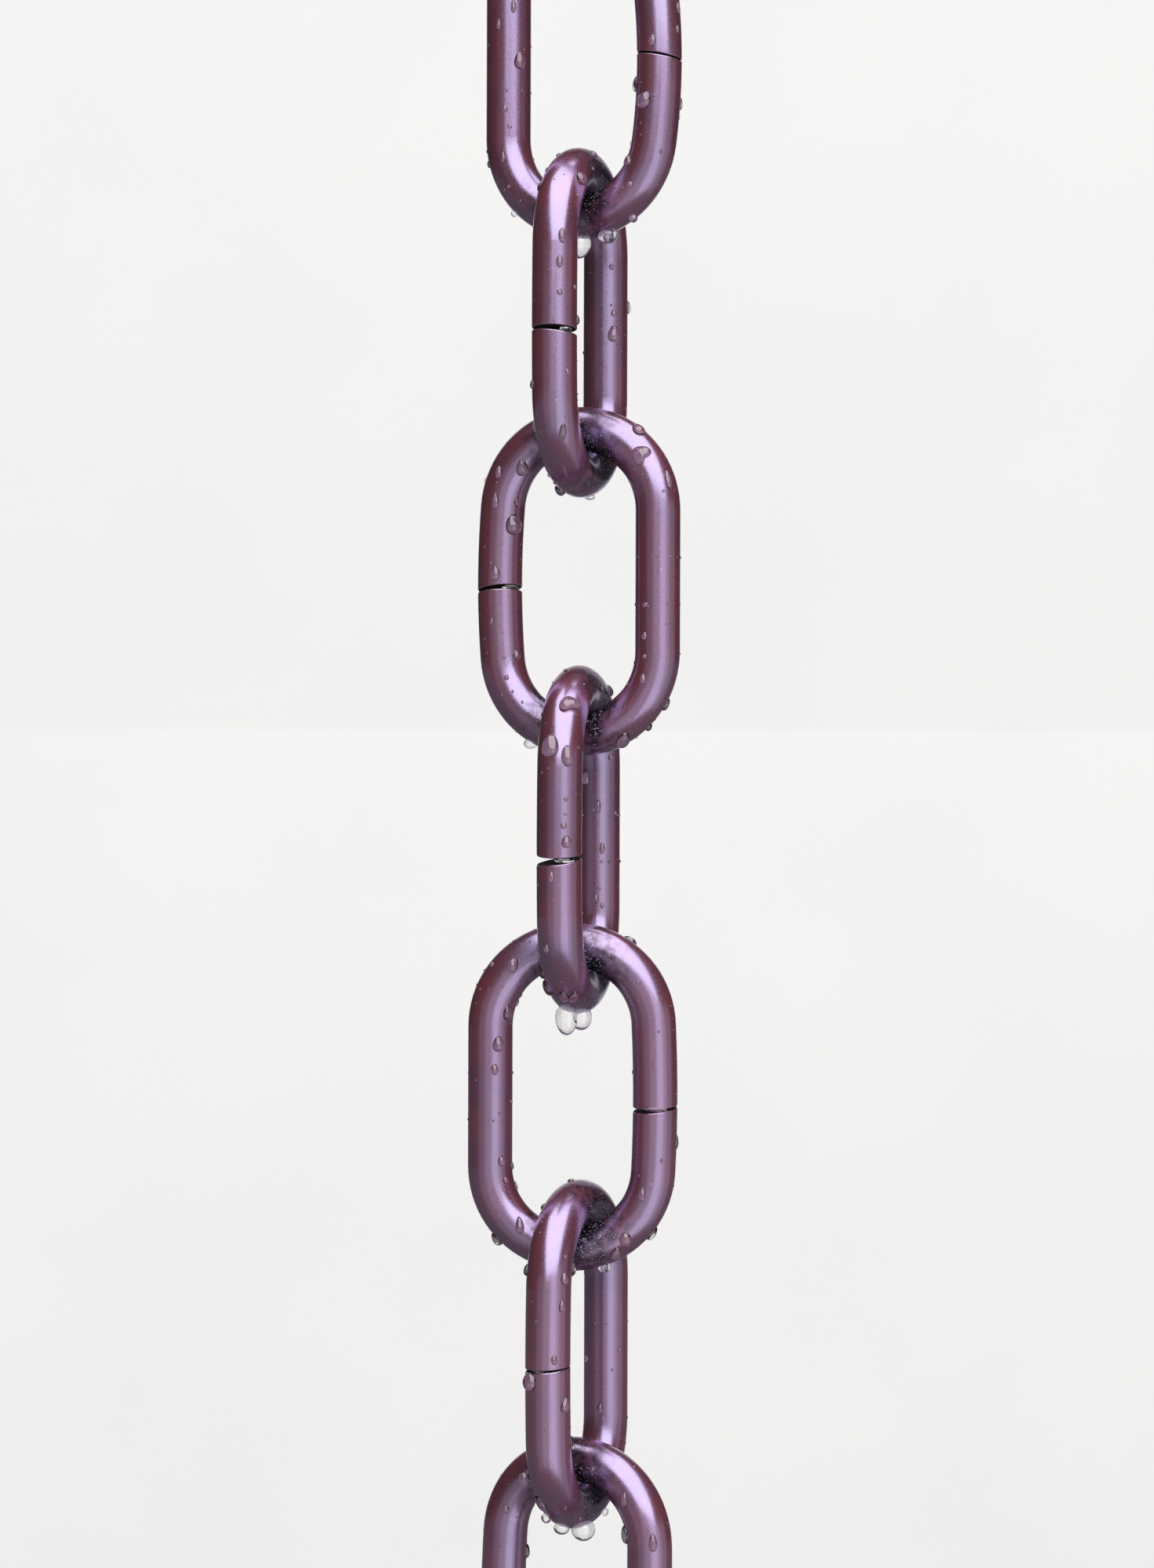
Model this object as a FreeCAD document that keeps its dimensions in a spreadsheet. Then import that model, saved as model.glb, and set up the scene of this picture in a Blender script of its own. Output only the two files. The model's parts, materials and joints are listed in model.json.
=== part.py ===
import FreeCAD, Part
import math
import os
import Sketcher

# A length of rain chain: seven links of round bar, each one bent to a long ring, cut through one leg and
# threaded on the link above. Alternate links hang a quarter turn apart. The origin is the inside of the
# top link's upper bend, where the chain hangs, with +Z up and lengths in millimetres.

# Sizes that all the links share.
shared_sizes = {
    "rod_diameter": 8.2,     # the round bar with its coat
    "link_width": 38.3,      # outside, across both legs
    "link_length": 63.9,     # outside, end to end
    "hang_clearance": 0.3,   # left between two links where one bears on the other
    "cut_edge_radius": 0.2,  # rounding of the cut ends
}

# The links from the top down: name, the way the cut leg faces (degrees about +Z from +X), the plane that
# shows the slant of the cut, and the link's own sizes:
#   turn        degrees that the link has swung off its quarter turn
#   shift       how far it has slipped sideways on the links that it touches (only where it has)
#   cut_bulge   how far the cut leg is sprung outwards at its middle
#   cut_height  the cut's middle above the middle of the link
#   cut_gap     opening of the cut on the rod's centre line
#   cut_wedge   how much the opening narrows across the rod
#   cut_slant   how much the cut rises across the rod
#   cut_tilt    degrees that the cut leans the other way, through the rod
links = [
    ("top_link", 0, "XZ_Plane", {
        "turn": -9.0, "cut_bulge": 0.9, "cut_height": 0.6,
        "cut_gap": 0.35, "cut_wedge": 0.05, "cut_slant": -1.2, "cut_tilt": -6.0}),
    ("second_link", 270, "YZ_Plane", {
        "turn": 0.5, "cut_bulge": 0.2, "cut_height": -2.6,
        "cut_gap": 0.8, "cut_wedge": -0.6, "cut_slant": -0.3, "cut_tilt": -7.0}),
    ("third_link", 180, "XZ_Plane", {
        "turn": -1.0, "cut_bulge": 0.5, "cut_height": -1.5,
        "cut_gap": 0.7, "cut_wedge": 0.45, "cut_slant": -0.9, "cut_tilt": 8.0}),
    ("fourth_link", 270, "YZ_Plane", {
        "turn": 5.0, "cut_bulge": 0.3, "cut_height": -3.0,
        "cut_gap": 1.2, "cut_wedge": 1.0, "cut_slant": 0.45, "cut_tilt": 9.0}),
    ("fifth_link", 0, "XZ_Plane", {
        "turn": 12.0, "shift": -1.2, "cut_bulge": 0.3, "cut_height": -1.9,
        "cut_gap": 0.62, "cut_wedge": 0.45, "cut_slant": 0.5, "cut_tilt": 6.0}),
    ("sixth_link", 270, "YZ_Plane", {
        "turn": -2.0, "cut_bulge": 0.3, "cut_height": -0.8,
        "cut_gap": 0.4, "cut_wedge": 0.35, "cut_slant": 0.5, "cut_tilt": 5.0}),
    ("bottom_link", 180, "XZ_Plane", {
        "turn": -10.0, "cut_bulge": 0.4, "cut_height": -1.5,
        "cut_gap": 0.6, "cut_wedge": 0.1, "cut_slant": -0.5, "cut_tilt": 4.0}),
]

doc = FreeCAD.newDocument("rain_chain")
sheet = doc.addObject("Spreadsheet::Sheet", "Sizes")

size_values = dict(shared_sizes)
for link_name, facing, cut_plane, own_sizes in links:
    for size_name, value in own_sizes.items():
        size_values[link_name + "_" + size_name] = value
for row, (alias, value) in enumerate(size_values.items(), start=1):
    sheet.set("A%d" % row, alias)
    sheet.set("B%d" % row, str(value))
    sheet.setAlias("B%d" % row, alias)
doc.recompute()

# Sizes that follow from the sheet, as expressions: the radius of a bend's centre line, half the straight
# stretch of a leg, and the room that a hanging rod has about the centre of a bend.
bend_radius = "(Sizes.link_width - Sizes.rod_diameter) / 2"
half_leg = "(Sizes.link_length - Sizes.link_width) / 2"
seat_radius = "(%s - Sizes.rod_diameter - Sizes.hang_clearance)" % bend_radius

# The first two as numbers, only for where a sketch's solver starts.
start_radius = (shared_sizes["link_width"] - shared_sizes["rod_diameter"]) / 2
start_half = (shared_sizes["link_length"] - shared_sizes["link_width"]) / 2


def own(link_name, size_name):
    return "Sizes.%s_%s" % (link_name, size_name)


def new_sketch(body, name, role):
    sketch = body.newObject("Sketcher::SketchObject", name)
    plane = [feature for feature in body.Origin.OriginFeatures if feature.Role == role][0]
    sketch.AttachmentSupport = [(plane, "")]
    sketch.MapMode = "FlatFace"
    return sketch


def hold(sketch, name, expression, *constraint):
    """Adds a named dimension, starting at the last value given, and ties it to the sheet."""
    index = sketch.addConstraint(Sketcher.Constraint(*constraint))
    sketch.renameConstraint(index, name)
    sketch.setExpression("Constraints." + name, expression)


def ring_path(body, link_name):
    """The centre line: a plain leg on -X, two bends, and the cut leg on +X, sprung into a shallow arc."""
    path = new_sketch(body, link_name + "_path", "XZ_Plane")
    start_bulge = size_values[link_name + "_cut_bulge"]
    leg_radius = (start_half ** 2 + start_bulge ** 2) / (2 * start_bulge) + start_radius
    leg_centre = start_radius + start_bulge - leg_radius
    sweep = math.atan2(start_half, -leg_centre)
    top_centre = FreeCAD.Vector(0, start_half, 0)
    low_centre = FreeCAD.Vector(0, -start_half, 0)
    middle = FreeCAD.Vector(-start_radius, 0, 0)
    normal = FreeCAD.Vector(0, 0, 1)

    upper_leg = path.addGeometry(Part.LineSegment(middle, FreeCAD.Vector(-start_radius, start_half, 0)))
    top_bend = path.addGeometry(
        Part.ArcOfCircle(Part.Circle(top_centre, normal, start_radius), sweep, math.pi))
    cut_leg = path.addGeometry(
        Part.ArcOfCircle(Part.Circle(FreeCAD.Vector(leg_centre, 0, 0), normal, leg_radius), -sweep, sweep))
    low_bend = path.addGeometry(
        Part.ArcOfCircle(Part.Circle(low_centre, normal, start_radius), math.pi, 2 * math.pi - sweep))
    lower_leg = path.addGeometry(Part.LineSegment(FreeCAD.Vector(-start_radius, -start_half, 0), middle))

    path.addConstraint([
        Sketcher.Constraint("Tangent", upper_leg, 2, top_bend, 2),
        Sketcher.Constraint("Tangent", top_bend, 1, cut_leg, 2),
        Sketcher.Constraint("Tangent", cut_leg, 1, low_bend, 2),
        Sketcher.Constraint("Tangent", low_bend, 1, lower_leg, 1),
        Sketcher.Constraint("Coincident", lower_leg, 2, upper_leg, 1),
        Sketcher.Constraint("PointOnObject", upper_leg, 1, -1),
        Sketcher.Constraint("Vertical", upper_leg),
        Sketcher.Constraint("PointOnObject", top_bend, 3, -2),
        Sketcher.Constraint("PointOnObject", low_bend, 3, -2),
        Sketcher.Constraint("Equal", top_bend, low_bend),
    ])
    hold(path, "bend", bend_radius, "Radius", top_bend, start_radius)
    hold(path, "rise", half_leg, "DistanceY", -1, 1, top_bend, 3, start_half)
    hold(path, "fall", half_leg, "DistanceY", low_bend, 3, -1, 1, start_half)
    bulge = own(link_name, "cut_bulge")
    hold(path, "spring", "((%s)^2 + %s^2) / (2 * %s) + %s" % (half_leg, bulge, bulge, bend_radius),
         "Radius", cut_leg, leg_radius)
    return path


def rod_section(body, link_name):
    """The round bar, seen across the middle of the plain leg."""
    section = new_sketch(body, link_name + "_section", "XY_Plane")
    centre = FreeCAD.Vector(-start_radius, 0, 0)
    rod = section.addGeometry(
        Part.Circle(centre, FreeCAD.Vector(0, 0, 1), shared_sizes["rod_diameter"] / 2))
    section.addConstraint(Sketcher.Constraint("PointOnObject", rod, 3, -1))
    hold(section, "offset", bend_radius, "DistanceX", rod, 3, -1, 1, start_radius)
    hold(section, "thickness", "Sizes.rod_diameter", "Diameter", rod, shared_sizes["rod_diameter"])
    return section


def cut_outline(body, link_name, cut_plane):
    """The slanted, slightly wedge-shaped opening, drawn two rods wide, with its zero half a link below it."""
    outline = new_sketch(body, link_name + "_cut", cut_plane)
    names = {name: own(link_name, "cut_" + name) for name in ("height", "gap", "wedge", "slant", "tilt")}
    names["rise"] = "(Sizes.link_length / 2 + %s)" % names["height"]
    if cut_plane == "XZ_Plane":
        near_side, depth = bend_radius + " - Sizes.rod_diameter", "0"
    else:
        near_side, depth = "-Sizes.rod_diameter", bend_radius
    leaning_axis = FreeCAD.Vector(1, 0, 0)
    outline.AttachmentOffset = FreeCAD.Placement(FreeCAD.Vector(0, 0, 0), FreeCAD.Rotation(leaning_axis, 1))
    outline.setExpression("AttachmentOffset.Rotation.Angle", names["tilt"])
    outline.setExpression("AttachmentOffset.Base.x", near_side)
    outline.setExpression(
        "AttachmentOffset.Base.y", "{height} - {rise} * cos({tilt} * 1 deg)".format(**names))
    outline.setExpression(
        "AttachmentOffset.Base.z", depth + " - {rise} * sin({tilt} * 1 deg)".format(**names))

    across = 2 * shared_sizes["rod_diameter"]
    gap, wedge, slant = [size_values[link_name + name] for name in ("_cut_gap", "_cut_wedge", "_cut_slant")]
    middle = shared_sizes["link_length"] / 2 + size_values[link_name + "_cut_height"]
    near_low = middle - slant - (gap + wedge) / 2
    far_low = middle + slant - (gap - wedge) / 2
    corners = [
        FreeCAD.Vector(0, near_low, 0),
        FreeCAD.Vector(across, far_low, 0),
        FreeCAD.Vector(across, far_low + gap - wedge, 0),
        FreeCAD.Vector(0, near_low + gap + wedge, 0),
    ]
    low, far, high, near = [
        outline.addGeometry(Part.LineSegment(corners[i], corners[(i + 1) % 4])) for i in range(4)]
    outline.addConstraint([
        Sketcher.Constraint("Coincident", low, 2, far, 1),
        Sketcher.Constraint("Coincident", far, 2, high, 1),
        Sketcher.Constraint("Coincident", high, 2, near, 1),
        Sketcher.Constraint("Coincident", near, 2, low, 1),
        Sketcher.Constraint("PointOnObject", low, 1, -2),
        Sketcher.Constraint("Vertical", far),
        Sketcher.Constraint("Vertical", near),
    ])
    hold(outline, "across", "2 * Sizes.rod_diameter", "DistanceX", low, 1, low, 2, across)
    hold(outline, "nearLow",
         "{rise} - {slant} - ({gap} + {wedge}) / 2".format(**names),
         "DistanceY", -1, 1, low, 1, near_low)
    hold(outline, "farLow",
         "{rise} + {slant} - ({gap} - {wedge}) / 2".format(**names),
         "DistanceY", -1, 1, low, 2, far_low)
    hold(outline, "nearGap", "{gap} + {wedge}".format(**names),
         "DistanceY", low, 1, near, 1, gap + wedge)
    hold(outline, "farGap", "{gap} - {wedge}".format(**names),
         "DistanceY", low, 2, far, 2, gap - wedge)
    return outline


def flat_face_edges(shape):
    """Names of the edges round the flat faces, which are the two cut ends."""
    rims = [edge for face in shape.Faces if isinstance(face.Surface, Part.Plane) for edge in face.Edges]
    return ["Edge%d" % number for number, edge in enumerate(shape.Edges, start=1)
            if any(edge.isSame(rim) for rim in rims)]


def make_link(link_name, cut_plane):
    body = doc.addObject("PartDesign::Body", link_name)
    body.Label = link_name

    ring = body.newObject("PartDesign::AdditivePipe", link_name + "_ring")
    path = ring_path(body, link_name)
    ring.Profile = rod_section(body, link_name)
    doc.recompute()
    ring.Spine = (path, ["Edge%d" % number for number in range(1, len(path.Shape.Edges) + 1)])
    doc.recompute()

    cut = body.newObject("PartDesign::Pocket", link_name + "_opening")
    cut.Profile = cut_outline(body, link_name, cut_plane)
    cut.SideType = "Symmetric"
    cut.setExpression("Length", "2 * Sizes.rod_diameter")
    doc.recompute()
    if cut.Shape.Volume >= ring.Shape.Volume:
        raise RuntimeError(link_name + ": the cut removes nothing")

    rounding = body.newObject("PartDesign::Fillet", link_name + "_rounding")
    rounding.Base = (cut, flat_face_edges(cut.Shape))
    rounding.setExpression("Radius", "Sizes.cut_edge_radius")
    doc.recompute()
    return body


def drop_below_centre(link_name, own_sizes):
    """How far under (or over) a bend's centre the neighbour's rod sits, less where the link has slipped."""
    if "shift" not in own_sizes:
        return seat_radius
    return "sqrt(%s^2 - %s^2)" % (seat_radius, own(link_name, "shift"))


# Each link hangs in the lower bend of the one above it.
bodies = []
above = None
for link_name, facing, cut_plane, own_sizes in links:
    body = make_link(link_name, cut_plane)
    heading = "(%d + %s)" % (facing, own(link_name, "turn"))
    seat = drop_below_centre(link_name, own_sizes)
    body.Placement = FreeCAD.Placement(
        FreeCAD.Vector(0, 0, 0), FreeCAD.Rotation(FreeCAD.Vector(0, 0, 1), facing + own_sizes["turn"]))
    body.setExpression("Placement.Rotation.Angle", heading)
    if "shift" in own_sizes:
        body.setExpression("Placement.Base.x", "%s * cos(%s * 1 deg)" % (own(link_name, "shift"), heading))
        body.setExpression("Placement.Base.y", "%s * sin(%s * 1 deg)" % (own(link_name, "shift"), heading))
    if above is None:
        height = "Sizes.rod_diameter - Sizes.link_length / 2"
    else:
        pitch = "2 * %s + %s + %s + Sizes.rod_diameter + Sizes.hang_clearance" % (half_leg, above[1], seat)
        height = "%s.Placement.Base.z - (%s) * 1 mm" % (above[0].Name, pitch)
    body.setExpression("Placement.Base.z", height)
    bodies.append(body)
    above = (body, seat)
doc.recompute()

for item in doc.Objects:
    if "Invalid" in item.State or "Error" in item.State:
        raise RuntimeError("%s did not compute: %s" % (item.Label, item.State))
for body in bodies:
    if body.Shape.isNull() or not body.Shape.isValid() or len(body.Shape.Solids) != 1:
        raise RuntimeError(body.Label + " is not one sound solid")

os.makedirs("parts", exist_ok=True)
for body in bodies:
    body.Shape.exportStep("parts/%s.step" % body.Label)
    box = body.Shape.BoundBox
    print("%-12s %8.1f mm3  z %.2f to %.2f" % (body.Label, body.Shape.Volume, box.ZMin, box.ZMax))
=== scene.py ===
import json
import math
import random

import bpy
from mathutils import Matrix, Vector
from mathutils.bvhtree import BVHTree
from mathutils.interpolate import poly_3d_calc

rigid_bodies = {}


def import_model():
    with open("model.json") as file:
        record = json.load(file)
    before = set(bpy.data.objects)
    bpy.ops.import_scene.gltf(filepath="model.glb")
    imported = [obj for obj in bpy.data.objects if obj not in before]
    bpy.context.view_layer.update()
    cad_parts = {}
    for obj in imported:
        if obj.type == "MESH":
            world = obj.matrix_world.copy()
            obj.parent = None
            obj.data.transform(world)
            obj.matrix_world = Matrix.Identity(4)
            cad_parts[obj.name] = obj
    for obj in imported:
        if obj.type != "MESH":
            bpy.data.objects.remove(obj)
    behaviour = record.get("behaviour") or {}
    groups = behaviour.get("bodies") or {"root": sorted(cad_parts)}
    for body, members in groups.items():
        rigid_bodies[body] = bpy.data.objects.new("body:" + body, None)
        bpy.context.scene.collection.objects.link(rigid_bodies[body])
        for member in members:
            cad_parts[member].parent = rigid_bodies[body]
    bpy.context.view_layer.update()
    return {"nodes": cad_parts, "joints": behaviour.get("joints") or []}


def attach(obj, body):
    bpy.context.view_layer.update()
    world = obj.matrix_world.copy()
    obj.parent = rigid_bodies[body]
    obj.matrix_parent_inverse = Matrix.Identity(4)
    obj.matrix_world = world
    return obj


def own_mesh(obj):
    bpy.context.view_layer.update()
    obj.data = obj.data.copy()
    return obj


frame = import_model()
scene = bpy.context.scene
scene.view_settings.view_transform = "Standard"
up = Vector((0, 0, 1))
mm = 0.001
print("frame loaded:", len(frame["nodes"]), "links")


# camera, nearly level with the chain and a little to its right, as the photo was taken
photo = {"width": 1472, "height": 2000}    # pixels
cameraPlace = {
    "turn": 18.49,         # degrees round from the front
    "rise": 0.56,          # degrees that it looks down
    "lean": 0.17,          # degrees that it is tipped to the left
    "distance": 0.900,     # metres from the chain's axis
    "level": -0.15519,     # height that the photo's middle row shows
    "sidestep": -0.0004,   # the chain hangs a little right of the middle
    "lens": 112.9,
    "sensor": 36.0,        # along the photo's height
}


def placeCamera():
    turn, rise, lean = [math.radians(cameraPlace[key]) for key in ("turn", "rise", "lean")]
    sideways = Vector((math.cos(turn), math.sin(turn), 0))
    away = up.cross(sideways)
    ahead = away * math.cos(rise) - up * math.sin(rise)
    upright = sideways.cross(ahead)
    right = sideways * math.cos(lean) + upright * math.sin(lean)
    top = upright * math.cos(lean) - sideways * math.sin(lean)
    target = up * cameraPlace["level"] + sideways * cameraPlace["sidestep"]
    eye = target - ahead * cameraPlace["distance"]
    lens = bpy.data.cameras.new("camera")
    lens.lens = cameraPlace["lens"]
    lens.sensor_width = cameraPlace["sensor"]
    camera = bpy.data.objects.new("camera", lens)
    camera.matrix_world = Matrix.Translation(eye) @ Matrix((right, top, -ahead)).transposed().to_4x4()
    scene.collection.objects.link(camera)
    scene.camera = camera
    return {"eye": eye, "right": right, "top": top, "ahead": ahead, "sideways": sideways, "away": away}


view = placeCamera()
focalPixels = cameraPlace["lens"] / cameraPlace["sensor"] * photo["height"]
pixelSize = cameraPlace["distance"] / focalPixels    # metres at the chain's axis


def pixelRay(x, y):
    across = view["right"] * (x - photo["width"] / 2)
    aloft = view["top"] * (photo["height"] / 2 - y)
    return (view["ahead"] * focalPixels + across + aloft).normalized()


print("camera placed")


# small helpers for node trees
def newMaterial(name):
    material = bpy.data.materials.new(name)
    material.use_nodes = True
    material.node_tree.nodes.clear()
    return material, material.node_tree


def addNode(tree, kind, inputs=None, **settings):
    node = tree.nodes.new("ShaderNode" + kind)
    for key, value in settings.items():
        setattr(node, key, value)
    for key, value in (inputs or {}).items():
        if isinstance(value, bpy.types.NodeSocket):
            tree.links.new(value, node.inputs[key])
        else:
            node.inputs[key].default_value = value
    return node


def math2(tree, operation, a, b=0.0, clamp=False):
    return addNode(tree, "Math", {0: a, 1: b}, operation=operation, use_clamp=clamp).outputs[0]


def vector2(tree, operation, a, b, result=0):
    return addNode(tree, "VectorMath", {0: a, 1: b}, operation=operation).outputs[result]


noiseSpan = (0.3, 0.7)    # holds most of what a noise node gives


def noise(tree, where, scale, detail):
    return addNode(tree, "TexNoise", {"Vector": where, "Scale": scale, "Detail": detail}).outputs["Fac"]


def bumpNormal(tree, height, strength, depth):
    inputs = {"Strength": strength, "Distance": depth, "Height": height}
    return addNode(tree, "Bump", inputs).outputs["Normal"]


def finishMaterial(tree, inputs):
    shader = addNode(tree, "BsdfPrincipled", inputs)
    addNode(tree, "OutputMaterial", {"Surface": shader.outputs[0]})


def mapRange(tree, value, low, high, toLow=0.0, toHigh=1.0):
    inputs = {"Value": value, "From Min": low, "From Max": high, "To Min": toLow, "To Max": toHigh}
    return addNode(tree, "MapRange", inputs, interpolation_type="SMOOTHSTEP").outputs["Result"]


def mixColour(tree, share, a, b):
    node = addNode(tree, "Mix", data_type="RGBA")
    for socket, value in ((node.inputs[0], share), (node.inputs[6], a), (node.inputs[7], b)):
        if isinstance(value, bpy.types.NodeSocket):
            tree.links.new(value, socket)
        else:
            socket.default_value = value
    return node.outputs[2]


# pale stage: a floor well below the chain and a hanging card behind it, square to the view
stageSize = {
    "floorLevel": -1.9,
    "floorReach": 20.0,
    "cardBack": 2.2,
    "cardHalfWidth": 0.55,
    "cardTop": 0.5,
    "cardFoot": -0.85,
    "colour": (0.74, 0.735, 0.73, 1),
    "shade": (0.725, 0.722, 0.72, 1),
    "mottle": (6.0, 3.0),         # noise scale and detail of the change between the two
    "roughness": 0.6,
    "cardGlow": (0.55, 0.30),     # what the pale card adds where it is seen, and where it is mirrored
    "floorGlow": (0.75, 0.03),    # dim where mirrored, so the undersides of the links stay dark
}


def seenLight(tree, seen, mirrored, cast=0.0):
    path = addNode(tree, "LightPath").outputs
    shown = math2(tree, "MAXIMUM", path["Is Camera Ray"], path["Is Transmission Ray"])
    shown = math2(tree, "MULTIPLY", shown, seen)
    inGloss = math2(tree, "MULTIPLY", path["Is Glossy Ray"], mirrored)
    return math2(tree, "MAXIMUM", math2(tree, "MAXIMUM", shown, inGloss), cast)


def paleMaterial(name, glow):
    material, tree = newMaterial(name)
    where = addNode(tree, "TexCoord").outputs["Object"]
    mottle = mapRange(tree, noise(tree, where, *stageSize["mottle"]), *noiseSpan)
    tone = mixColour(tree, mottle, stageSize["colour"], stageSize["shade"])
    paint = addNode(tree, "BsdfDiffuse", {"Color": tone, "Roughness": stageSize["roughness"]})
    light = addNode(tree, "Emission", {"Color": tone, "Strength": seenLight(tree, *glow)})
    both = addNode(tree, "AddShader", {0: paint.outputs[0], 1: light.outputs[0]})
    addNode(tree, "OutputMaterial", {"Surface": both.outputs[0]})
    return material


def stageStrip(name, profile, halfWidth, glow):
    points = []
    for depth, height in profile:
        for side in (-halfWidth, halfWidth):
            points.append(view["sideways"] * side + view["away"] * depth + up * height)
    faces = [(a, a + 1, a + 3, a + 2) for a in range(0, len(points) - 2, 2)]
    mesh = bpy.data.meshes.new(name)
    mesh.from_pydata(points, [], faces)
    for face in mesh.polygons:
        face.use_smooth = True
    mesh.materials.append(paleMaterial(name, glow))
    strip = bpy.data.objects.new(name, mesh)
    scene.collection.objects.link(strip)
    return strip


def buildStage():
    size = stageSize
    reach, level, back = size["floorReach"], size["floorLevel"], size["cardBack"]
    hung = [(back, size["cardFoot"]), (back, size["cardTop"])]
    stageStrip("card", hung, size["cardHalfWidth"], size["cardGlow"])
    return stageStrip("floor", [(-reach, level), (reach, level)], reach, size["floorGlow"])


floor = buildStage()
print("stage built")


# soft studio light: a broad panel overhead, a band of dimmer ones round the camera and one for the back
lamps = {
    "skyPanel": {"turn": 14, "rise": 59, "far": 2.0, "size": (3.0, 4.2), "radiance": 2.9},
    "bandPanel": {"turn": 25, "rise": -17, "far": 2.0, "size": (1.15, 2.1), "radiance": 1.12},
    "leftPanel": {"turn": -9, "rise": -17, "far": 2.0, "size": (1.3, 2.1), "radiance": 0.41},
    "farLeftPanel": {"turn": -43, "rise": -17, "far": 2.0, "size": (1.2, 2.1), "radiance": 0.16},
    "rightPanel": {"turn": 51, "rise": -17, "far": 2.0, "size": (0.75, 2.1), "radiance": 0.62},
    "farRightPanel": {"turn": 78, "rise": -17, "far": 2.0, "size": (1.2, 2.1), "radiance": 0.28},
    "backPanel": {"turn": 180, "rise": 10, "far": 1.7, "size": (1.6, 1.5), "radiance": 0.45},
    "backFill": {"turn": 180, "rise": 25, "far": 2.0, "size": (2.4, 2.4), "radiance": 1.0,
                 "mirrored": False},
}
floorLight = {"strength": 0.5, "spread": 40}    # the panels leave the floor to this one
surroundings = {"colour": (0.97, 0.98, 1.0, 1), "seen": 0.76, "mirrored": 0.02, "cast": 0.03}


def receivers(name, state):
    group = bpy.data.collections.new(name)
    group.objects.link(floor)
    group.collection_objects[0].light_linking.link_state = state
    return group


def hangLamps():
    middle = up * cameraPlace["level"]
    offFloor = receivers("offFloor", "EXCLUDE")
    for name, lamp in lamps.items():
        turn = math.radians(cameraPlace["turn"] + lamp["turn"])
        rise = math.radians(lamp["rise"])
        level = Vector((math.sin(turn), -math.cos(turn), 0))
        back = level * math.cos(rise) + up * math.sin(rise)
        light = bpy.data.lights.new(name, "AREA")
        light.shape = "RECTANGLE"
        light.size, light.size_y = lamp["size"]
        light.energy = lamp["radiance"] * math.pi * light.size * light.size_y
        holder = bpy.data.objects.new(name, light)
        holder.location = middle + back * lamp["far"]
        holder.rotation_euler = back.to_track_quat("Z", "Y").to_euler()
        holder.visible_camera = False    # the other views look towards the lamps
        holder.visible_transmission = False
        holder.visible_glossy = lamp.get("mirrored", True)
        holder.light_linking.receiver_collection = offFloor
        scene.collection.objects.link(holder)
    light = bpy.data.lights.new("floorLight", "SUN")
    light.energy = floorLight["strength"]
    light.angle = math.radians(floorLight["spread"])
    holder = bpy.data.objects.new("floorLight", light)
    holder.light_linking.receiver_collection = receivers("floorOnly", "INCLUDE")
    scene.collection.objects.link(holder)
    world = bpy.data.worlds.new("studio")
    world.use_nodes = True
    tree = world.node_tree
    sky = tree.nodes["Background"]
    sky.inputs["Color"].default_value = surroundings["colour"]
    strength = seenLight(tree, surroundings["seen"], surroundings["mirrored"], surroundings["cast"])
    tree.links.new(strength, sky.inputs["Strength"])
    scene.world = world


hangLamps()
print("lamps hung")


# plum-brown pearl coat on the bars
barRadius = 4.1 * mm
coat = {
    "red": (0.170, 0.038, 0.044, 1),
    "plum": (0.122, 0.029, 0.037, 1),
    "wornAndShaded": (0.050, 0.034, 0.048, 1),     # rubbed, wet metal where links bear on each other, darkened further as painted contact shade
    # painted glint for the pale specks of spray
    "speckGlint": (0.72, 0.69, 0.78, 1),
    "bare": (0.42, 0.36, 0.38, 1),        # metal at the cut edges
    "gloss": 2.5,                         # index of refraction
    "pearl": (0.67, 0.58, 1.0, 1),
    "roughness": (0.24, 0.30),
    "roughGrain": 0.03,                   # how far the grain moves it either way
    "roughSpan": (0.35, 0.65),            # part of the grain's noise that does
    "wet": 0.8,
    "wetRoughness": 0.14,
    "shift": (13.0, 7.0, 0.0),            # millimetres by which each seed moves the pattern
    "tone": (0.11, 4.0),                  # noise scale per millimetre and detail, as in the next two
    "grain": (2.6, 3.0),
    "peel": (0.55, 2.0),
    "toneSpan": (0.36, 0.64),
    "contactReach": 11.0,                 # millimetres from the bearing point
    "contactCore": 0.4,                   # share of that reach that is fully rubbed and painted dark
    "contactRagged": 2.0,                 # millimetres that its outline wanders
    "contactMetal": 0.85,
    "edgeBand": 0.22,                     # millimetres either side of a cut face
    "edgeCore": 0.3,                      # share of that band that is fully bare
    "edgeReach": (6.0, 7.0),              # millimetres from the cut's middle, where the band ends
    "edgeSpan": (0.46, 0.60),             # part of the grain's noise that breaks it up
    "speckCover": 0.75,
    "bumpDepth": 0.03 * mm,
    "bumpStrength": 0.35,
    "grainBump": 0.12,
    "speckBump": 0.5,
}
# fine pale specks, painted glints of spray; rare is the share of cells without one, and the key named
# for the rubbed patch brings more to that patch
glintSpecks = {
    "sparse": {"scale": 0.85, "rare": 0.88, "most": 1.0, "onRubbedAndShaded": 0.0, "widest": 0.13},
    "dense": {"scale": 3.2, "rare": 0.9, "most": 1.5, "onRubbedAndShaded": 0.60, "widest": 0.40},
}


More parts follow.
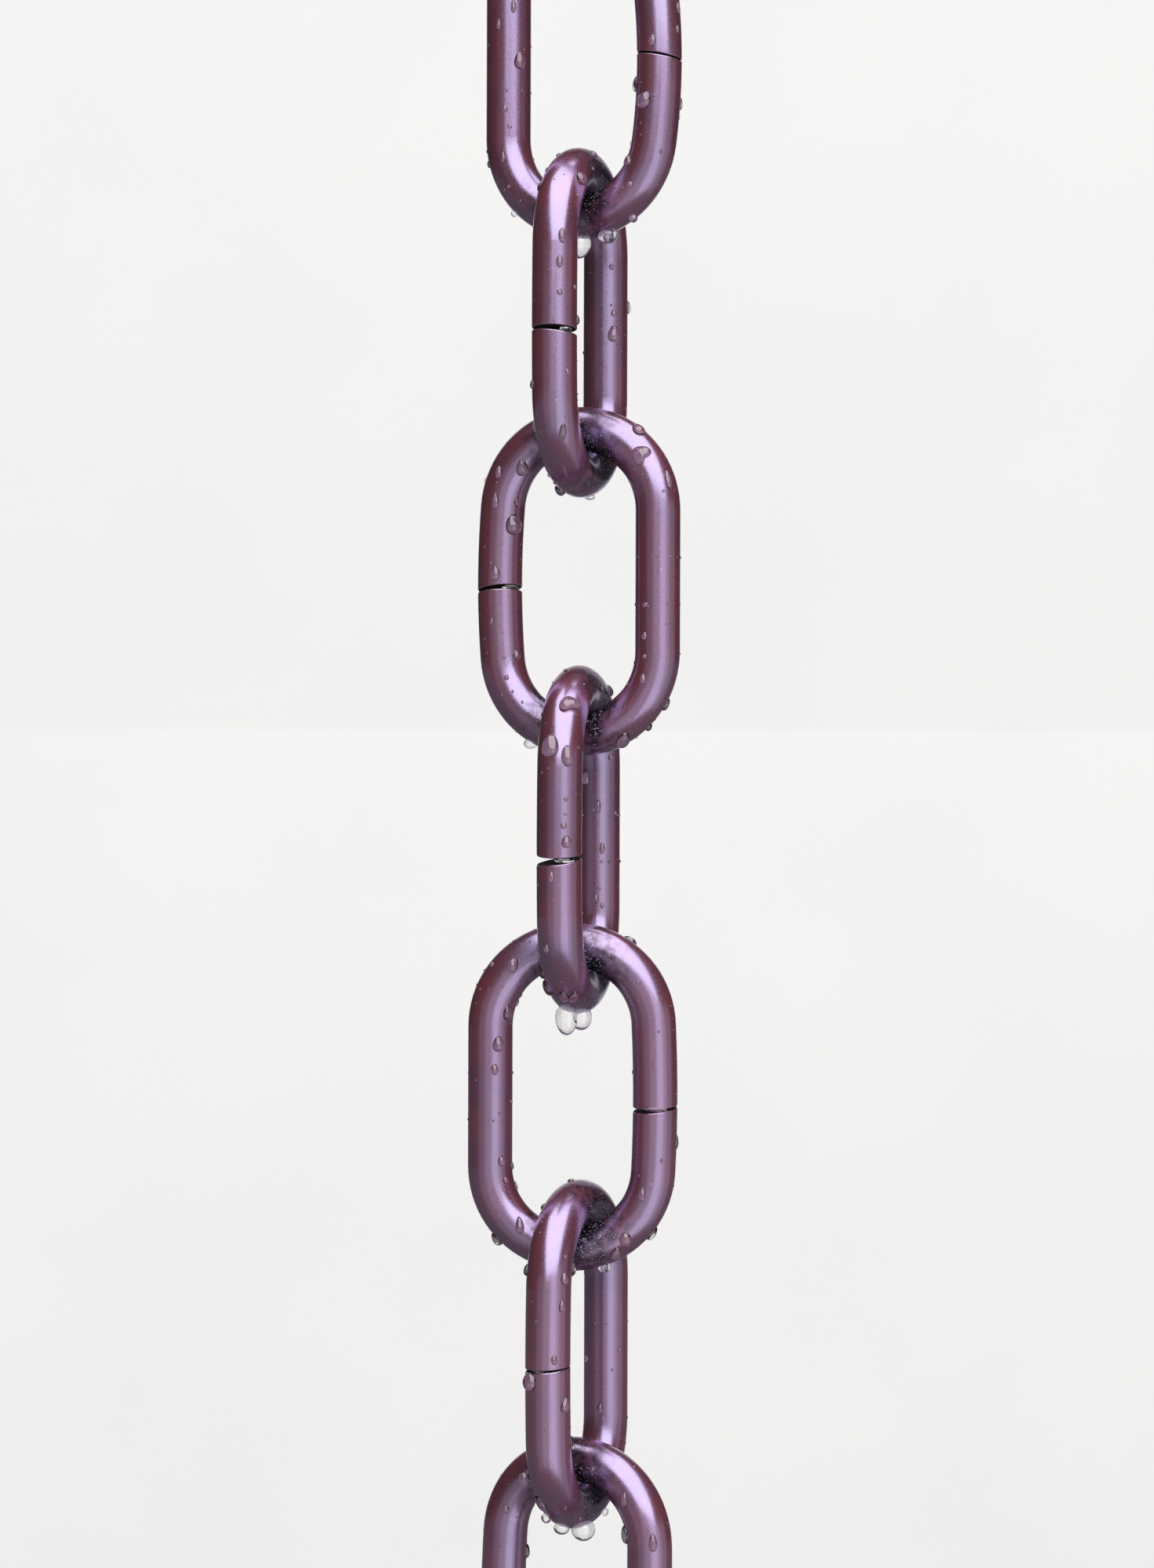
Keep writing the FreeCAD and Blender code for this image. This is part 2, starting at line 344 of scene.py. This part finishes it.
def coatMaterial(name, contacts, cutFaces, seed):
    material, tree = newMaterial(name)
    place = addNode(tree, "TexCoord").outputs["Object"]
    where = vector2(tree, "MULTIPLY", place, (1 / mm,) * 3)
    shifted = vector2(tree, "ADD", where, [seed * step for step in coat["shift"]])

    # slow change of tone, and the fine grain of the coat
    tone, grain, peel = [noise(tree, shifted, *coat[key]) for key in ("tone", "grain", "peel")]
    colour = mixColour(tree, mapRange(tree, tone, *coat["toneSpan"]), coat["red"], coat["plum"])

    # rubbed patch round each bearing point: wear, and painted contact shade where the links meet
    near = None
    for point in contacts:
        gap = vector2(tree, "DISTANCE", where, point / mm, "Value")
        near = gap if near is None else math2(tree, "MINIMUM", near, gap)
    wander = mapRange(tree, peel, *noiseSpan, -coat["contactRagged"], coat["contactRagged"])
    ragged = math2(tree, "ADD", near, wander)
    reach = coat["contactReach"]
    rubbedAndShaded = mapRange(tree, ragged, reach * coat["contactCore"], reach, 1.0, 0.0)
    colour = mixColour(tree, rubbedAndShaded, colour, coat["wornAndShaded"])

    # bare metal along the edges of the cut
    edge = None
    for point, normal in cutFaces:
        offset = vector2(tree, "SUBTRACT", where, point / mm)
        away = math2(tree, "ABSOLUTE", vector2(tree, "DOT_PRODUCT", offset, normal, "Value"))
        gap = vector2(tree, "DISTANCE", where, point / mm, "Value")
        local = mapRange(tree, gap, *coat["edgeReach"], 1.0, 0.0)
        band = mapRange(tree, away, coat["edgeBand"] * coat["edgeCore"], coat["edgeBand"], 1.0, 0.0)
        band = math2(tree, "MULTIPLY", band, local)
        edge = band if edge is None else math2(tree, "MAXIMUM", edge, band)
    edge = math2(tree, "MULTIPLY", edge, mapRange(tree, grain, *coat["edgeSpan"]))
    colour = mixColour(tree, edge, colour, coat["bare"])

    # pale specks painted as glints of spray, sparse all over and close together on the rubbed patch
    speckGlint = None
    for kind in glintSpecks.values():
        cells = addNode(tree, "TexVoronoi", {"Vector": shifted, "Scale": kind["scale"]}, feature="F1")
        lot = addNode(tree, "SeparateColor", {"Color": cells.outputs["Color"]}).outputs[0]
        lot = math2(tree, "ADD", lot, math2(tree, "MULTIPLY", rubbedAndShaded, kind["onRubbedAndShaded"]))
        size = mapRange(tree, lot, kind["rare"], kind["most"], 0.0, kind["widest"])
        dots = math2(tree, "LESS_THAN", cells.outputs["Distance"], size)
        speckGlint = dots if speckGlint is None else math2(tree, "MAXIMUM", speckGlint, dots)
    colour = mixColour(tree, math2(tree, "MULTIPLY", speckGlint, coat["speckCover"]), colour, coat["speckGlint"])

    # the rubbed patch turns to dark metal, which paints out its reflection as contact shade
    metal = math2(tree, "MAXIMUM", edge, math2(tree, "MULTIPLY", rubbedAndShaded, coat["contactMetal"]))
    metal = math2(tree, "SUBTRACT", metal, speckGlint, clamp=True)
    rough = mapRange(tree, tone, *noiseSpan, *coat["roughness"])
    fine = mapRange(tree, grain, *coat["roughSpan"], -coat["roughGrain"], coat["roughGrain"])
    rough = math2(tree, "ADD", rough, fine)
    height = math2(tree, "ADD", peel, math2(tree, "MULTIPLY", grain, coat["grainBump"]))
    height = math2(tree, "ADD", height, math2(tree, "MULTIPLY", speckGlint, coat["speckBump"]))
    finishMaterial(tree, {
        "Base Color": colour,
        "Metallic": metal,
        "Roughness": rough,
        "IOR": coat["gloss"],
        "Specular IOR Level": 1.0,
        "Specular Tint": coat["pearl"],
        "Coat Weight": coat["wet"],
        "Coat Roughness": coat["wetRoughness"],
        "Normal": bumpNormal(tree, height, coat["bumpStrength"], coat["bumpDepth"]),
    })
    return material


# the two flat ends of the bar are the only level faces half way up a link
cutSearch = {
    "zone": 10 * mm,    # either way from the link's middle
    "level": 0.97,      # least upright share of a level face's normal
}


def flatEnds(mesh):
    heights = [v.co.z for v in mesh.vertices]
    middle = (min(heights) + max(heights)) / 2
    inside = [f for f in mesh.polygons if abs(f.center.z - middle) < cutSearch["zone"]]
    return [[f for f in inside if f.normal.z * facing > cutSearch["level"]] for facing in (1, -1)]


def cutFacesOf(mesh):
    ends = []
    for flat in flatEnds(mesh):
        area = sum(f.area for f in flat)
        point = sum((f.center * f.area for f in flat), Vector()) / area
        normal = sum((f.normal * f.area for f in flat), Vector()).normalized()
        ends.append((point, normal))
    return ends


# the two ends of the bar inside the cut: a thin skin, scored by the cutter, painted near black as the
# shade inside the narrow gap
cutSkin = {
    "thick": 0.03 * mm,
    # painted gap shade, with the cutter's scores a little lighter
    "dullGapShade": (0.020, 0.012, 0.015, 1),
    "scored": (0.085, 0.065, 0.070, 1),
    "roughness": 0.8,
    "shine": 0.15,
    "scoreScale": (3500, 500, 500),    # per metre, finer across the scores than along them
    "score": (1.0, 3.0),               # noise scale and detail
    "scoreSpan": (0.5, 0.7),
    "scoreDepth": 0.03 * mm,
    "scoreStrength": 0.4,
}


def cutSkinMaterial():
    material, tree = newMaterial("cutSkin")
    place = addNode(tree, "TexCoord").outputs["Object"]
    strips = vector2(tree, "MULTIPLY", place, cutSkin["scoreScale"])
    score = noise(tree, strips, *cutSkin["score"])
    lines = mapRange(tree, score, *cutSkin["scoreSpan"])
    finishMaterial(tree, {
        "Base Color": mixColour(tree, lines, cutSkin["dullGapShade"], cutSkin["scored"]),
        "Roughness": cutSkin["roughness"],
        "Specular IOR Level": cutSkin["shine"],
        "Normal": bumpNormal(tree, score, cutSkin["scoreStrength"], cutSkin["scoreDepth"]),
    })
    return material


shadedCutSkin = cutSkinMaterial()


def skinCutEnds(node, mesh):
    points, faces = [], []
    for flat, (_, normal) in zip(flatEnds(mesh), cutFacesOf(mesh)):
        corners = sorted({v for f in flat for v in f.vertices})
        outer = {v: len(points) + i for i, v in enumerate(corners)}
        points += [mesh.vertices[v].co + normal * cutSkin["thick"] for v in corners]
        inner = {v: len(points) + i for i, v in enumerate(corners)}
        points += [mesh.vertices[v].co - normal * cutSkin["thick"] for v in corners]
        sides = {}
        for f in flat:
            loop = list(f.vertices)
            faces.append([outer[v] for v in loop])
            faces.append([inner[v] for v in reversed(loop)])
            for a, b in zip(loop, loop[1:] + loop[:1]):
                sides[frozenset((a, b))] = None if frozenset((a, b)) in sides else (a, b)
        faces += [[outer[b], outer[a], inner[a], inner[b]] for a, b in filter(None, sides.values())]
    skin = bpy.data.meshes.new(node + "_cutEnds")
    skin.from_pydata(points, [], faces)
    skin.materials.append(shadedCutSkin)
    ends = bpy.data.objects.new(node + "_cutEnds", skin)
    scene.collection.objects.link(ends)
    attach(ends, node)


def bearingPoints(node):
    swings = [j for j in frame["joints"] if node in (j["parent"], j["child"])]
    return [Vector(j["pos_m"]) + up * barRadius for j in swings]


# clear water
water = {
    "index": 1.333,
    "clear": (0.96, 0.94, 0.95, 1),
    "rim": (0.06, 0.04, 0.055, 1),      # painted dark outline, tinted into the water where a drop bends the light most
    "roughness": (0.0, 0.02),
    "ripple": (900.0, 2.0),             # noise scale and detail of the change in roughness
    "rippleSpan": (0.4, 0.7),
    "glint": 1.75,                      # index of the skin that gives the white glints
    "under": (0.23, 0.33),              # roughness of the coat seen through it
    "underMottle": (250.0, 3.0),        # noise scale and detail of its change of tone
    "underGloss": 2.1,                  # its index of refraction
    # painted shade on the coat's colours where they show through a drop
    "underShade": (0.66, 0.52, 0.62, 1),
    "underPearl": (0.67, 0.54, 0.87, 1),
}


def waterMaterial(name, tint):
    material, tree = newMaterial(name)
    place = addNode(tree, "TexCoord").outputs["Object"]
    ripple = noise(tree, place, *water["ripple"])
    finishMaterial(tree, {
        "Base Color": tint,
        "Roughness": mapRange(tree, ripple, *water["rippleSpan"], *water["roughness"]),
        "IOR": water["index"],
        "Transmission Weight": 1.0,
        "Coat Weight": 1.0,
        "Coat IOR": water["glint"],
    })
    return material


def wetShadedCoatMaterial():
    # the coat as it shows through a drop, with less pearl; its darker colour is painted shade for the
    # light the water holds back
    material, tree = newMaterial("wetShadedCoat")
    place = addNode(tree, "TexCoord").outputs["Object"]
    tone = noise(tree, place, *water["underMottle"])
    red, plum = [[a * b for a, b in zip(coat[key], water["underShade"])] for key in ("red", "plum")]
    finishMaterial(tree, {
        "Base Color": mixColour(tree, mapRange(tree, tone, *coat["toneSpan"]), red, plum),
        "Roughness": mapRange(tree, tone, *noiseSpan, *water["under"]),
        "IOR": water["underGloss"],
        "Specular IOR Level": 1.0,
        "Specular Tint": water["underPearl"],
    })
    return material


dropCoats = [
    waterMaterial("rainWater", water["clear"]),
    wetShadedCoatMaterial(),
    waterMaterial("rimWater", water["rim"]),
]
clearCoat, underCoat, rimCoat = range(len(dropCoats))    # which of them a face has


# a link's skin: where the bar's surface is, and which way it faces
edgeSearch = {"steps": 50, "step": 0.5 * mm}    # either way along a ray that misses the bar


def skinOf(node):
    mesh = frame["nodes"][node].data
    points = [v.co.copy() for v in mesh.vertices]
    tree = BVHTree.FromPolygons(points, [tuple(f.vertices) for f in mesh.polygons])
    corners = mesh.corner_normals

    def facingAt(spot, index):
        face = mesh.polygons[index]
        shares = poly_3d_calc([points[i] for i in face.vertices], spot)
        parts = [corners[c].vector * share for c, share in zip(face.loop_indices, shares)]
        return sum(parts, Vector()).normalized()

    def nearest(point):
        spot, _, index, gap = tree.find_nearest(point)
        return spot, facingAt(spot, index), gap

    def under(x, y):
        aim = pixelRay(x, y)
        spot, _, index, _ = tree.ray_cast(view["eye"], aim)
        if spot is not None:
            return spot, facingAt(spot, index)
        steps = range(-edgeSearch["steps"], edgeSearch["steps"] + 1)
        distances = [cameraPlace["distance"] + k * edgeSearch["step"] for k in steps]
        best = min((nearest(view["eye"] + aim * far) for far in distances), key=lambda found: found[2])
        return best[0], best[1]

    return {"nearest": nearest, "under": under, "mesh": mesh}


# one drop: a lens whose foot follows the bar, its rim sunk a hair into the coat
dropForm = {
    "rings": (7, 24),
    "fineRings": (4, 12),
    "rimBands": 2,          # rows at the foot that take the painted dark outline
    "sink": 0.03 * mm,
    "film": 0.012 * mm,     # its underside lies this far off the coat
    "crown": 0.40,          # height as a share of the smaller width
    "edge": 0.56,           # lower is a steeper rim
    "slump": 0.22,          # how far the crown slides down
    "tear": 0.16,           # how much narrower the top is
    "wobble": 0.06,
    "wobbleTurn": 6.28,     # radians round which a wobble may start
    "baySharp": 6,          # higher is a narrower bay in the outline
}
levelPatch = 0.35           # a patch whose level side is shorter than this faces up or down


def newShells():
    return {"points": [], "faces": [], "coats": [], "rims": set()}


def addRow(shells, points):
    start = len(shells["points"])
    shells["points"] += points
    return list(range(start, len(shells["points"])))


def joinRows(shells, rows, coats, inward=False, sharp=True):
    # the first row is one point, and each later one a ring round it
    (middle,), rim = rows[0], rows[-1]
    for k in range(len(rim)):
        n = (k + 1) % len(rim)
        faces = [(middle, rows[1][k], rows[1][n])]
        faces += [(a[k], b[k], b[n], a[n]) for a, b in zip(rows[1:], rows[2:])]
        shells["faces"] += [face[::-1] if inward else face for face in faces]
        shells["coats"] += coats
        if sharp:
            shells["rims"].add(frozenset((rim[k], rim[n])))


def addDrop(shells, skin, spot, facing, width, length, chance, lean=0.0, bay=0.0, fine=False):
    rings, around = dropForm["fineRings" if fine else "rings"]
    side = up.cross(facing)
    side = view["right"].copy() if side.length < levelPatch else side
    side = (side - facing * side.dot(facing)).normalized()
    down = side.cross(facing)
    c, s = math.cos(math.radians(lean)), math.sin(math.radians(lean))
    side, down = side * c + down * s, down * c - side * s
    crown = dropForm["crown"] * min(width, length)
    wave = []
    for n in (2, 3):
        size = chance.uniform(-1, 1) * dropForm["wobble"]
        wave.append((n, size, chance.uniform(0, dropForm["wobbleTurn"])))
    tops, bottoms = [], []
    for ring in range(rings + 1):
        share = math.sin(math.pi / 2 * ring / rings)
        bulk = max(0.0, 1 - share * share)
        outer, inner = [], []
        for k in range(around if ring else 1):
            a = 2 * math.pi * k / around
            reach = share * (1 + sum(size * math.sin(n * a + turn) for n, size, turn in wave))
            reach *= 1 - bay * max(0.0, math.cos(a)) ** dropForm["baySharp"]
            x = reach * math.sin(a) * width / 2 * (1 + dropForm["tear"] * math.cos(a))
            y = length / 2 * (reach * math.cos(a) + dropForm["slump"] * bulk)
            foot, out, _ = skin["nearest"](spot + side * x + down * y)
            outer.append(foot + out * (crown * bulk ** dropForm["edge"] - dropForm["sink"]))
            inner.append(foot + out * dropForm["film"])
        tops.append(addRow(shells, outer))
        bottoms.append(addRow(shells, inner) if ring < rings else tops[-1])
    bands = dropForm["rimBands"]
    joinRows(shells, tops, [clearCoat] * (rings - bands) + [rimCoat] * bands)
    joinRows(shells, bottoms, [underCoat] * rings, inward=True)


# a drop that hangs under a bend: a bulb whose neck goes up into the bar
pendantForm = {
    "rings": 12,
    "around": 28,
    "depth": 0.9,       # front to back, as a share of its width
    "neck": 115,        # degrees round from its tip
    "sunk": 0.1 * mm,
}


def addPendant(shells, skin, spot, width, tall):
    rings, around = pendantForm["rings"], pendantForm["around"]
    end = math.radians(pendantForm["neck"])
    radius = width / 2
    rise = barRadius - math.sqrt(barRadius ** 2 - (radius * math.sin(end)) ** 2) + pendantForm["sunk"]
    tip = spot - up * tall
    rows = [addRow(shells, [tip])]
    for ring in range(1, rings + 1):
        a = end * ring / rings
        level = tip + up * (tall + rise) * (1 - math.cos(a)) / (1 - math.cos(end))
        points = []
        for k in range(around):
            turn = 2 * math.pi * k / around
            reach = view["sideways"] * math.cos(turn)
            reach -= view["away"] * math.sin(turn) * pendantForm["depth"]
            points.append(level + reach * radius * math.sin(a))
        if ring == rings:
            feet = [skin["nearest"](point) for point in points]
            points = [foot - out * pendantForm["sunk"] for foot, out, _ in feet]
        rows.append(addRow(shells, points))
    root = addRow(shells, [spot + up * rise])
    joinRows(shells, rows, [clearCoat] * rings)
    joinRows(shells, [root, rows[-1]], [clearCoat], inward=True)


# water held in a cut, from one end of the bar to the other
bridgeForm = {
    "rings": 6,
    "around": 24,
    "deep": 1.0 * mm,
    "proud": 0.12 * mm,    # how far it stands out of the bar
    "bite": 0.1 * mm,      # how far it goes into each end
}


def addBridge(shells, cutFaces, x, width):
    rings, around = bridgeForm["rings"], bridgeForm["around"]
    middle = (cutFaces[0][0] + cutFaces[1][0]) / 2
    away = middle - view["eye"]
    offset = (x - photo["width"] / 2) * away.dot(view["ahead"]) / focalPixels - away.dot(view["right"])
    turn = math.asin(offset / barRadius)
    out = view["sideways"] * math.sin(turn) - view["away"] * math.cos(turn)
    along = up.cross(out)
    centre = middle + out * (barRadius + bridgeForm["proud"] - bridgeForm["deep"])
    levels = []
    for point, normal in cutFaces:
        step = centre - point
        levels.append(point.z - (normal.x * step.x + normal.y * step.y) / normal.z)
    centre.z = sum(levels) / 2
    tall = abs(levels[0] - levels[1]) / 2 + bridgeForm["bite"]
    rows = {}
    for end in (-1, 1):
        rows[end] = [addRow(shells, [centre + up * tall * end])]
        for ring in range(1, rings + 1 if end < 0 else rings):
            a = math.pi / 2 * ring / rings
            points = []
            for k in range(around):
                spin = 2 * math.pi * k / around
                reach = along * math.cos(spin) * width / 2 + out * math.sin(spin) * bridgeForm["deep"]
                points.append(centre + up * tall * end * math.cos(a) + reach * math.sin(a))
            rows[end].append(addRow(shells, points))
    rows[1].append(rows[-1][-1])
    joinRows(shells, rows[-1], [clearCoat] * rings, sharp=False)
    joinRows(shells, rows[1], [clearCoat] * rings, inward=True, sharp=False)


def waterObject(name, shells, body):
    mesh = bpy.data.meshes.new(name)
    mesh.from_pydata(shells["points"], [], shells["faces"])
    for face, coatIndex in zip(mesh.polygons, shells["coats"]):
        face.use_smooth = True
        face.material_index = coatIndex
    for edge in mesh.edges:
        edge.use_edge_sharp = frozenset(edge.vertices) in shells["rims"]
    for material in dropCoats:
        mesh.materials.append(material)
    drops = bpy.data.objects.new(name, mesh)
    drops.visible_shadow = False    # clear water
    scene.collection.objects.link(drops)
    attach(drops, body)
    return drops


leastStretch = 0.72    # keeps drops near the bar's edge from growing too wide


def stretch(facing):
    # how much narrower and shorter a patch looks from the camera than it is
    side = up.cross(facing)
    if side.length < levelPatch:
        return 1.0, 1.0
    across = abs(side.normalized().dot(view["right"]))
    along = math.sqrt(max(0.0, 1 - facing.z ** 2))
    return max(leastStretch, across), max(leastStretch, along)


# drops on the sides that the photo doesn't show, and finer ones all over
spray = {
    "drops": 16,
    "dropWidth": (0.7, 2.1),      # millimetres
    "fine": 70,
    "fineWidth": (0.22, 0.55),
    "longer": (1.0, 1.7),         # length to width
    "clearOfBearing": 9.5,        # millimetres, as is the next
    "clearOfCut": 5.0,
}


def addSpray(shells, skin, node, cutFaces, chance):
    mesh = skin["mesh"]
    areas = [f.area for f in mesh.polygons]
    bearings = bearingPoints(node)
    for fine in (False, True):
        left = spray["fine" if fine else "drops"]
        widths = spray["fineWidth" if fine else "dropWidth"]
        while left:
            face = chance.choices(mesh.polygons, areas)[0]
            spot, facing, _ = skin["nearest"](face.center)
            shown = facing.dot(view["eye"] - spot) > 0
            width = chance.uniform(*widths) * mm
            length = width * chance.uniform(*spray["longer"])
            nearBearing = any((spot - p).length < spray["clearOfBearing"] * mm for p in bearings)
            nearCut = any((spot - p).length < spray["clearOfCut"] * mm for p, _ in cutFaces)
            if nearBearing or nearCut or (shown and not fine):
                continue
            addDrop(shells, skin, spot, facing, width, length, chance, fine=fine)
            left -= 1


pendantReach = 4.5 * mm    # nearer than this to the chain's axis, the link below could reach a pendant


def dressLink(link):
    node = link["node"]
    skin = skinOf(node)
    chance = random.Random(link["seed"])
    bar = frame["nodes"][node]
    cutFaces = cutFacesOf(skin["mesh"])
    finish = coatMaterial(node + "_coat", bearingPoints(node), cutFaces, link["seed"])
    bar.material_slots[0].material = finish
    skinCutEnds(node, skin["mesh"])
    drops, pendants = newShells(), newShells()
    for x, y, width, length, *outline in link["drops"]:
        spot, facing = skin["under"](x, y)
        across, along = stretch(facing)
        wide, tall = width * pixelSize / across, length * pixelSize / along
        addDrop(drops, skin, spot, facing, wide, tall, chance, *outline)
    for x, y, width, length in link["hanging"]:
        spot, _ = skin["under"](x, y)
        middle = math.hypot(spot.x, spot.y) < pendantReach
        addPendant(pendants if middle else drops, skin, spot, width * pixelSize, length * pixelSize)
    for x, width in link["bridges"]:
        addBridge(drops, cutFaces, x, width * pixelSize)
    addSpray(drops, skin, node, cutFaces, chance)
    waterObject(node + "_drops", drops, node)
    if pendants["points"]:
        pendant = waterObject(node + "_pendant", pendants, node)
        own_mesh(pendant)    # up into the bar
    print(node, "dressed with", len(link["drops"]) + len(link["hanging"]), "drops of its own")


# each link's own water, in photo pixels
# drops: across, down, width, length, then, for some, degrees of lean and the depth of a bay in the foot
# hanging: across, down, width, length; bridges, held in the cut: across, width
topLink = {
    "node": "top_link",
    "seed": 11,
    "drops": [
        (655, 8, 7, 17), (636, 31, 5, 14), (663, 77, 13, 24), (644, 138, 8, 9), (650, 161, 6, 6),
        (832, 51, 9, 15), (865, 10, 5, 16), (864, 37, 4, 10), (822, 127, 16, 23, 25),
        (801, 205, 9, 16), (804, 235, 8, 8), (843, 193, 4, 7), (642, 200, 4, 16), (649, 238, 4, 5),
        (785, 238, 4, 5), (624, 210, 5, 10),
    ],
    "hanging": [(775, 298, 25, 13), (808, 277, 11, 7), (655, 272, 9, 6), (738, 306, 32, 24)],
    "bridges": [],
}
dressLink(topLink)

secondLink = {
    "node": "second_link",
    "seed": 12,
    "drops": [
        (741, 227, 12, 18), (757, 196, 6, 9), (756, 215, 4, 5), (697, 215, 4, 4), (737, 249, 5, 6),
        (717, 300, 9, 20), (714, 333, 9, 16), (714, 372, 7, 9), (733, 366, 4, 6), (724, 474, 5, 9),
        (679, 490, 6, 12), (780, 340, 6, 9), (783, 399, 7, 10), (783, 426, 15, 22),
        (706, 408, 3, 6), (737, 408, 6, 12), (718, 551, 9, 22), (711, 628, 13, 12),
        (683, 236, 5, 14), (709, 193, 4, 5), (716, 421, 20, 8),
    ],
    "hanging": [(753, 637, 14, 4)],
    "bridges": [(725, 16)],
}
dressLink(secondLink)

thirdLink = {
    "node": "third_link",
    "seed": 13,
    "drops": [
        (814, 548, 14, 14), (818, 580, 26, 25, -50, 0.42), (852, 611, 8, 24), (666, 597, 15, 21),
        (636, 602, 7, 18), (632, 639, 8, 22), (659, 640, 6, 13), (655, 669, 19, 27),
        (632, 731, 11, 20), (627, 792, 4, 10), (823, 771, 7, 7), (822, 811, 6, 11),
        (822, 837, 5, 6), (820, 866, 7, 14), (643, 838, 5, 5), (659, 835, 9, 14), (646, 864, 6, 8),
        (795, 944, 17, 19), (852, 900, 8, 16), (830, 930, 9, 8), (851, 795, 4, 5),
    ],
    "hanging": [(673, 954, 18, 8)],
    "bridges": [(655, 26)],
}
dressLink(thirdLink)

fourthLink = {
    "node": "fourth_link",
    "seed": 14,
    "drops": [
        (726, 899, 29, 20, -12, 0.5), (702, 951, 20, 31), (724, 964, 16, 27), (722, 1019, 5, 7),
        (721, 1038, 4, 4), (719, 1053, 8, 9), (723, 1074, 13, 17), (703, 1119, 8, 15),
        (763, 1028, 7, 18), (768, 1082, 7, 15), (785, 1037, 4, 5), (768, 878, 6, 10),
        (723, 855, 9, 5), (764, 1133, 5, 6), (760, 1146, 8, 12), (768, 1155, 5, 8),
        (697, 1210, 7, 11), (685, 1243, 8, 16), (698, 1260, 10, 19), (719, 1271, 12, 14),
        (732, 1271, 11, 14), (747, 993, 9, 18), (780, 966, 8, 8),
    ],
    "hanging": [(720, 1297, 29, 30), (742, 1297, 28, 21)],
    "bridges": [(722, 26)],
}
dressLink(fourthLink)

fifthLink = {
    "node": "fifth_link",
    "seed": 15,
    "drops": [
        (654, 1231, 15, 20, 20), (628, 1230, 4, 7), (647, 1292, 9, 20), (636, 1332, 15, 20),
        (631, 1364, 9, 15), (638, 1419, 4, 7), (652, 1405, 4, 6), (640, 1481, 9, 14),
        (653, 1487, 5, 10), (645, 1505, 6, 10), (643, 1517, 4, 5), (663, 1563, 11, 22),
        (634, 1580, 13, 14), (814, 1252, 5, 6), (777, 1218, 4, 5), (819, 1524, 8, 18),
        (798, 1581, 15, 19), (786, 1599, 13, 16), (863, 1456, 5, 18), (833, 1360, 3, 18),
        (835, 1415, 40, 6),
    ],
    "hanging": [(772, 1618, 17, 9)],
    "bridges": [(842, 14)],
}
dressLink(fifthLink)

sixthLink = {
    "node": "sixth_link",
    "seed": 16,
    "drops": [
        (728, 1506, 9, 7), (689, 1537, 5, 8), (721, 1603, 4, 6), (720, 1631, 8, 16),
        (717, 1666, 8, 16), (707, 1735, 8, 13), (790, 1721, 4, 8), (748, 1733, 6, 10),
        (765, 1797, 9, 14), (721, 1792, 10, 20, 15), (676, 1762, 16, 24), (690, 1918, 10, 20),
        (721, 1923, 5, 6), (740, 1937, 5, 5),
    ],
    "hanging": [(694, 1937, 14, 9), (715, 1951, 21, 10), (745, 1950, 31, 18), (773, 1926, 9, 9)],
    "bridges": [(684, 14)],
}
dressLink(sixthLink)

bottomLink = {
    "node": "bottom_link",
    "seed": 17,
    "drops": [
        (668, 1887, 15, 21), (645, 1925, 9, 12), (756, 1874, 5, 8), (796, 1913, 8, 19),
        (798, 1957, 12, 24), (833, 1968, 11, 23), (673, 1978, 8, 18),
    ],
    "hanging": [],
    "bridges": [],
}
dressLink(bottomLink)
